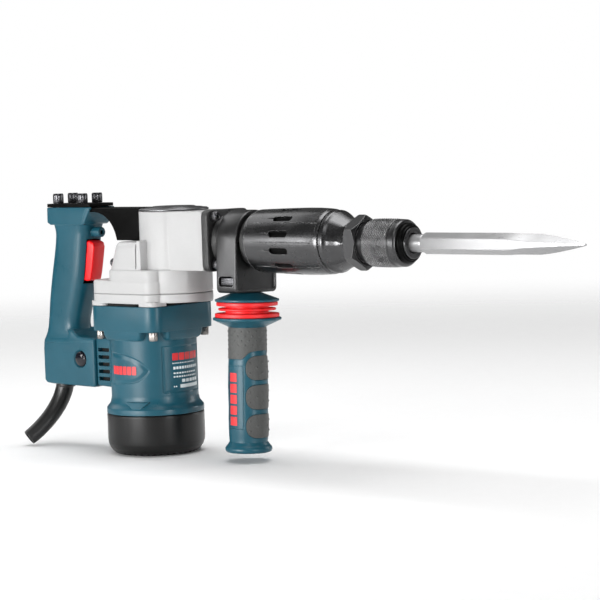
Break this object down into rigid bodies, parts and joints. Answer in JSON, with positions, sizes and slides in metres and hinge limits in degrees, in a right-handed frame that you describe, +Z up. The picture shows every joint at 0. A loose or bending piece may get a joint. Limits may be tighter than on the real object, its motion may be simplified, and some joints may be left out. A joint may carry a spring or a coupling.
{
  "type": "demolition hammer",
  "caption": "Corded demolition hammer with upright motor, D handle and trigger, crank case, vented barrel cover, knurled chuck, pointed chisel and swivelling side handle.",
  "frame": {"origin": "centre of the flat bottom of the motor's rear cover, on the motor axis", "axes": "+X along the tool axis towards the bit, +Y to the tool's left, +Z up along the motor axis"},
  "size_m": [0.676, 0.098, 0.2611],
  "materials": {
    "motor_cover_black": "glossy moulded black",
    "teal_plastic": "semi-gloss moulded dark teal",
    "laminated_steel": "stacked laminations",
    "bearing_steel": "ground steel",
    "carbon": "carbon block",
    "machined_steel": "turned and ground",
    "copper": "copper bars",
    "black_plastic": "moulded black, slight sheen",
    "case_paint": "smooth light paint on cast alloy",
    "lid_metal": "dark pressed steel",
    "barrel_casting": "rough dark cast metal",
    "cover_black": "glossy black shell",
    "chuck_steel": "blackened knurled steel",
    "chisel_steel": "light satin forged steel",
    "screw_dark": "blackened socket screws",
    "screw_bright": "plated socket screws",
    "red_plastic": "bright red moulding",
    "red_rubber": "bright red rubber",
    "grip_rubber": "soft dark grey rubber",
    "guard_rubber": "black flexible rubber",
    "lens_black": "polished black lens"
  },
  "bodies": {
    "body": {"rear_cover": "motor_cover_black", "motor_housing": "teal_plastic", "handle": "teal_plastic", "stator_core": "laminated_steel", "rear_bearing": "bearing_steel", "front_bearing": "bearing_steel", "brush_left": "carbon", "brush_right": "carbon", "cylinder_liner": "machined_steel", "sleeve_spring": "machined_steel", "air_baffle": "black_plastic", "rear_arm": "black_plastic", "top_plate": "black_plastic", "switch_body": "black_plastic", "dust_ring": "black_plastic", "gear_case_base": "case_paint", "crank_case": "case_paint", "crank_lid": "lid_metal", "barrel": "barrel_casting", "barrel_cover": "cover_black", "nose": "cover_black", "hex_flange": "chuck_steel", "tool_holder": "chuck_steel", "barrel_bolt_1": "screw_dark", "barrel_bolt_2": "screw_dark", "barrel_bolt_3": "screw_dark", "barrel_bolt_4": "screw_dark", "handle_screw_1": "screw_dark", "handle_screw_2": "screw_dark", "handle_screw_3": "screw_dark", "handle_screw_4": "screw_dark", "wing_screw_1": "screw_dark", "wing_screw_2": "screw_dark", "motor_bolt_1": "screw_bright", "motor_bolt_2": "screw_bright", "motor_bolt_3": "screw_bright", "motor_bolt_4": "screw_bright", "cord_guard": "guard_rubber", "status_lens": "lens_black"},
    "armature": {"armature_shaft": "machined_steel", "armature_core": "laminated_steel", "commutator": "copper", "fan": "black_plastic"},
    "crank": {"crankshaft": "machined_steel", "drive_gear": "machined_steel"},
    "piston_rod": {"connecting_rod": "machined_steel", "piston": "machined_steel", "wrist_pin": "machined_steel"},
    "striker": {"striker": "machined_steel"},
    "impact_bolt": {"impact_bolt": "machined_steel"},
    "chisel": {"chisel": "chisel_steel"},
    "sleeve": {"chuck_sleeve": "chuck_steel"},
    "trigger": {"trigger": "red_plastic"},
    "lock_button": {"lock_button": "black_plastic"},
    "clamp": {"clamp_band": "black_plastic", "clamp_nut": "screw_dark"},
    "side_grip": {"upper_flange": "teal_plastic", "vibration_bellows": "red_rubber", "side_grip": "teal_plastic", "grip_rubber": "grip_rubber"}
  },
  "joints": [
    {"name": "armature_spin", "type": "hinge", "parent": "body", "child": "armature", "pos_m": [0, 0, 0.1], "axis": [0, 0, 1], "continuous": true},
    {"name": "crank_spin", "type": "hinge", "parent": "body", "child": "crank", "pos_m": [0.0349, 0, 0.17], "axis": [0, 0, 1], "continuous": true},
    {"name": "piston_stroke", "type": "slide", "parent": "body", "child": "piston_rod", "axis": [1, 0, 0], "range_m": [-0.024, 0]},
    {"name": "striker_stroke", "type": "slide", "parent": "body", "child": "striker", "axis": [1, 0, 0], "range_m": [0, 0.03]},
    {"name": "impact_bolt_stroke", "type": "slide", "parent": "body", "child": "impact_bolt", "axis": [1, 0, 0], "range_m": [-0.0015, 0]},
    {"name": "chisel_stroke", "type": "slide", "parent": "body", "child": "chisel", "axis": [1, 0, 0], "range_m": [0, 0.012]},
    {"name": "sleeve_release", "type": "slide", "parent": "body", "child": "sleeve", "axis": [-1, 0, 0], "range_m": [0, 0.0065], "stiffness_N_per_m": 900, "springref_m": -0.006, "deforming": ["sleeve_spring"]},
    {"name": "trigger_squeeze", "type": "hinge", "parent": "body", "child": "trigger", "pos_m": [-0.0885, 0, 0.175], "axis": [0, -1, 0], "range_deg": [0, 7], "stiffness_Nm_per_rad": 0.8, "springref_deg": -20.05},
    {"name": "lock_press", "type": "slide", "parent": "body", "child": "lock_button", "axis": [0, -1, 0], "range_m": [0, 0.0025], "stiffness_N_per_m": 400, "springref_m": -0.002},
    {"name": "clamp_swivel", "type": "hinge", "parent": "body", "child": "clamp", "pos_m": [0.1303, 0, 0.2134], "axis": [1, 0, 0], "range_deg": [-180, 180]},
    {"name": "grip_twist", "type": "hinge", "parent": "clamp", "child": "side_grip", "pos_m": [0.1303, -0.00156, 0.16362], "axis": [0, -0.0314, -0.9995], "continuous": true}
  ],
  "couplings": [
    {"joint": "crank_spin", "follows": "armature_spin", "ratio": -0.16667}
  ]
}
